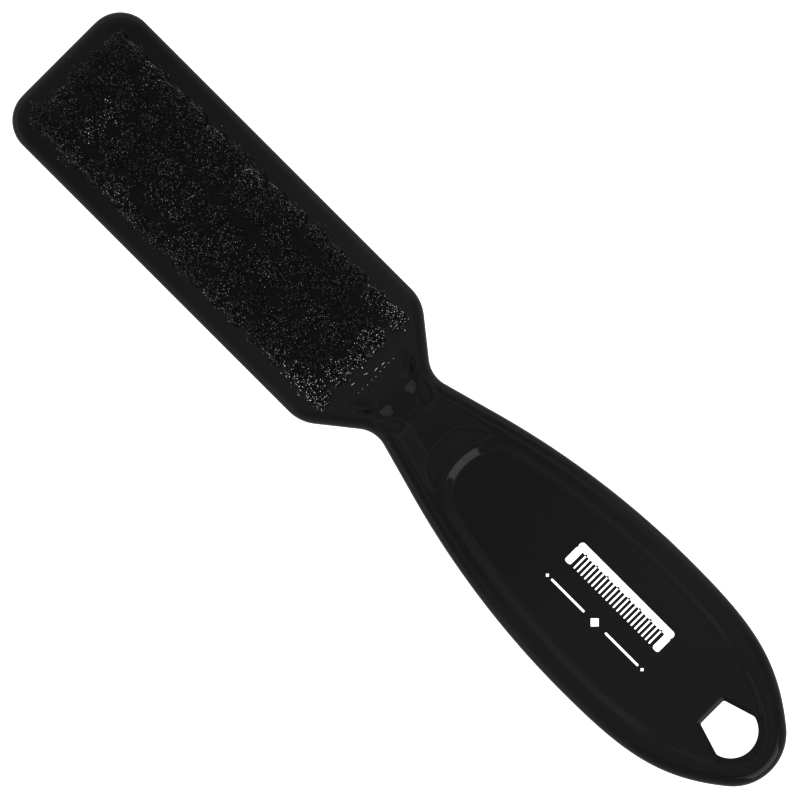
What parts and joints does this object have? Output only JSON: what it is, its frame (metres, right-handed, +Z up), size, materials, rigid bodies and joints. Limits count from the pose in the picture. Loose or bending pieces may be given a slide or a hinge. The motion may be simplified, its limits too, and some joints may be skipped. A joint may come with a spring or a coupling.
{
  "type": "fade brush",
  "caption": "Flat barber's cleaning brush: oblong head filled with short stiff bristle tufts, narrow waist, and a broad leaf-shaped handle with a recessed panel and a hang hole.",
  "frame": {"origin": "under the middle of the brush's overall box, on the surface that its back lies on", "axes": "+X along the brush from the head towards the hanging end, +Y across it, +Z up out of the bristle face"},
  "size_m": [0.175, 0.032, 0.025],
  "materials": {
    "body_plastic": "satin moulded black plastic, softly reflective, with rounded moulded edges",
    "bristle_nylon": "black nylon filament, each strand faintly glossy, cut flat at the tips",
    "anchor_wire": "flat drawn wire, dull",
    "print_ink": "thin white pad print, matt"
  },
  "bodies": {
    "root": {"handle_body": "body_plastic", "tuft_row_01_left": "bristle_nylon", "tuft_row_01_middle": "bristle_nylon", "tuft_row_01_right": "bristle_nylon", "tuft_row_02_left": "bristle_nylon", "tuft_row_02_middle": "bristle_nylon", "tuft_row_02_right": "bristle_nylon", "tuft_row_03_left": "bristle_nylon", "tuft_row_03_middle": "bristle_nylon", "tuft_row_03_right": "bristle_nylon", "tuft_row_04_left": "bristle_nylon", "tuft_row_04_middle": "bristle_nylon", "tuft_row_04_right": "bristle_nylon", "tuft_row_05_left": "bristle_nylon", "tuft_row_05_middle": "bristle_nylon", "tuft_row_05_right": "bristle_nylon", "tuft_row_06_left": "bristle_nylon", "tuft_row_06_middle": "bristle_nylon", "tuft_row_06_right": "bristle_nylon", "tuft_row_07_left": "bristle_nylon", "tuft_row_07_middle": "bristle_nylon", "tuft_row_07_right": "bristle_nylon", "tuft_row_08_left": "bristle_nylon", "tuft_row_08_middle": "bristle_nylon", "tuft_row_08_right": "bristle_nylon", "tuft_row_09_left": "bristle_nylon", "tuft_row_09_middle": "bristle_nylon", "tuft_row_09_right": "bristle_nylon", "tuft_row_10_left": "bristle_nylon", "tuft_row_10_middle": "bristle_nylon", "tuft_row_10_right": "bristle_nylon", "tuft_row_11_left": "bristle_nylon", "tuft_row_11_middle": "bristle_nylon", "tuft_row_11_right": "bristle_nylon", "tuft_row_12_left": "bristle_nylon", "tuft_row_12_middle": "bristle_nylon", "tuft_row_12_right": "bristle_nylon", "tuft_row_13_left": "bristle_nylon", "tuft_row_13_middle": "bristle_nylon", "tuft_row_13_right": "bristle_nylon", "tuft_row_14_left": "bristle_nylon", "tuft_row_14_middle": "bristle_nylon", "tuft_row_14_right": "bristle_nylon", "tuft_row_15_left": "bristle_nylon", "tuft_row_15_middle": "bristle_nylon", "tuft_row_15_right": "bristle_nylon"}
  },
  "joints": []
}
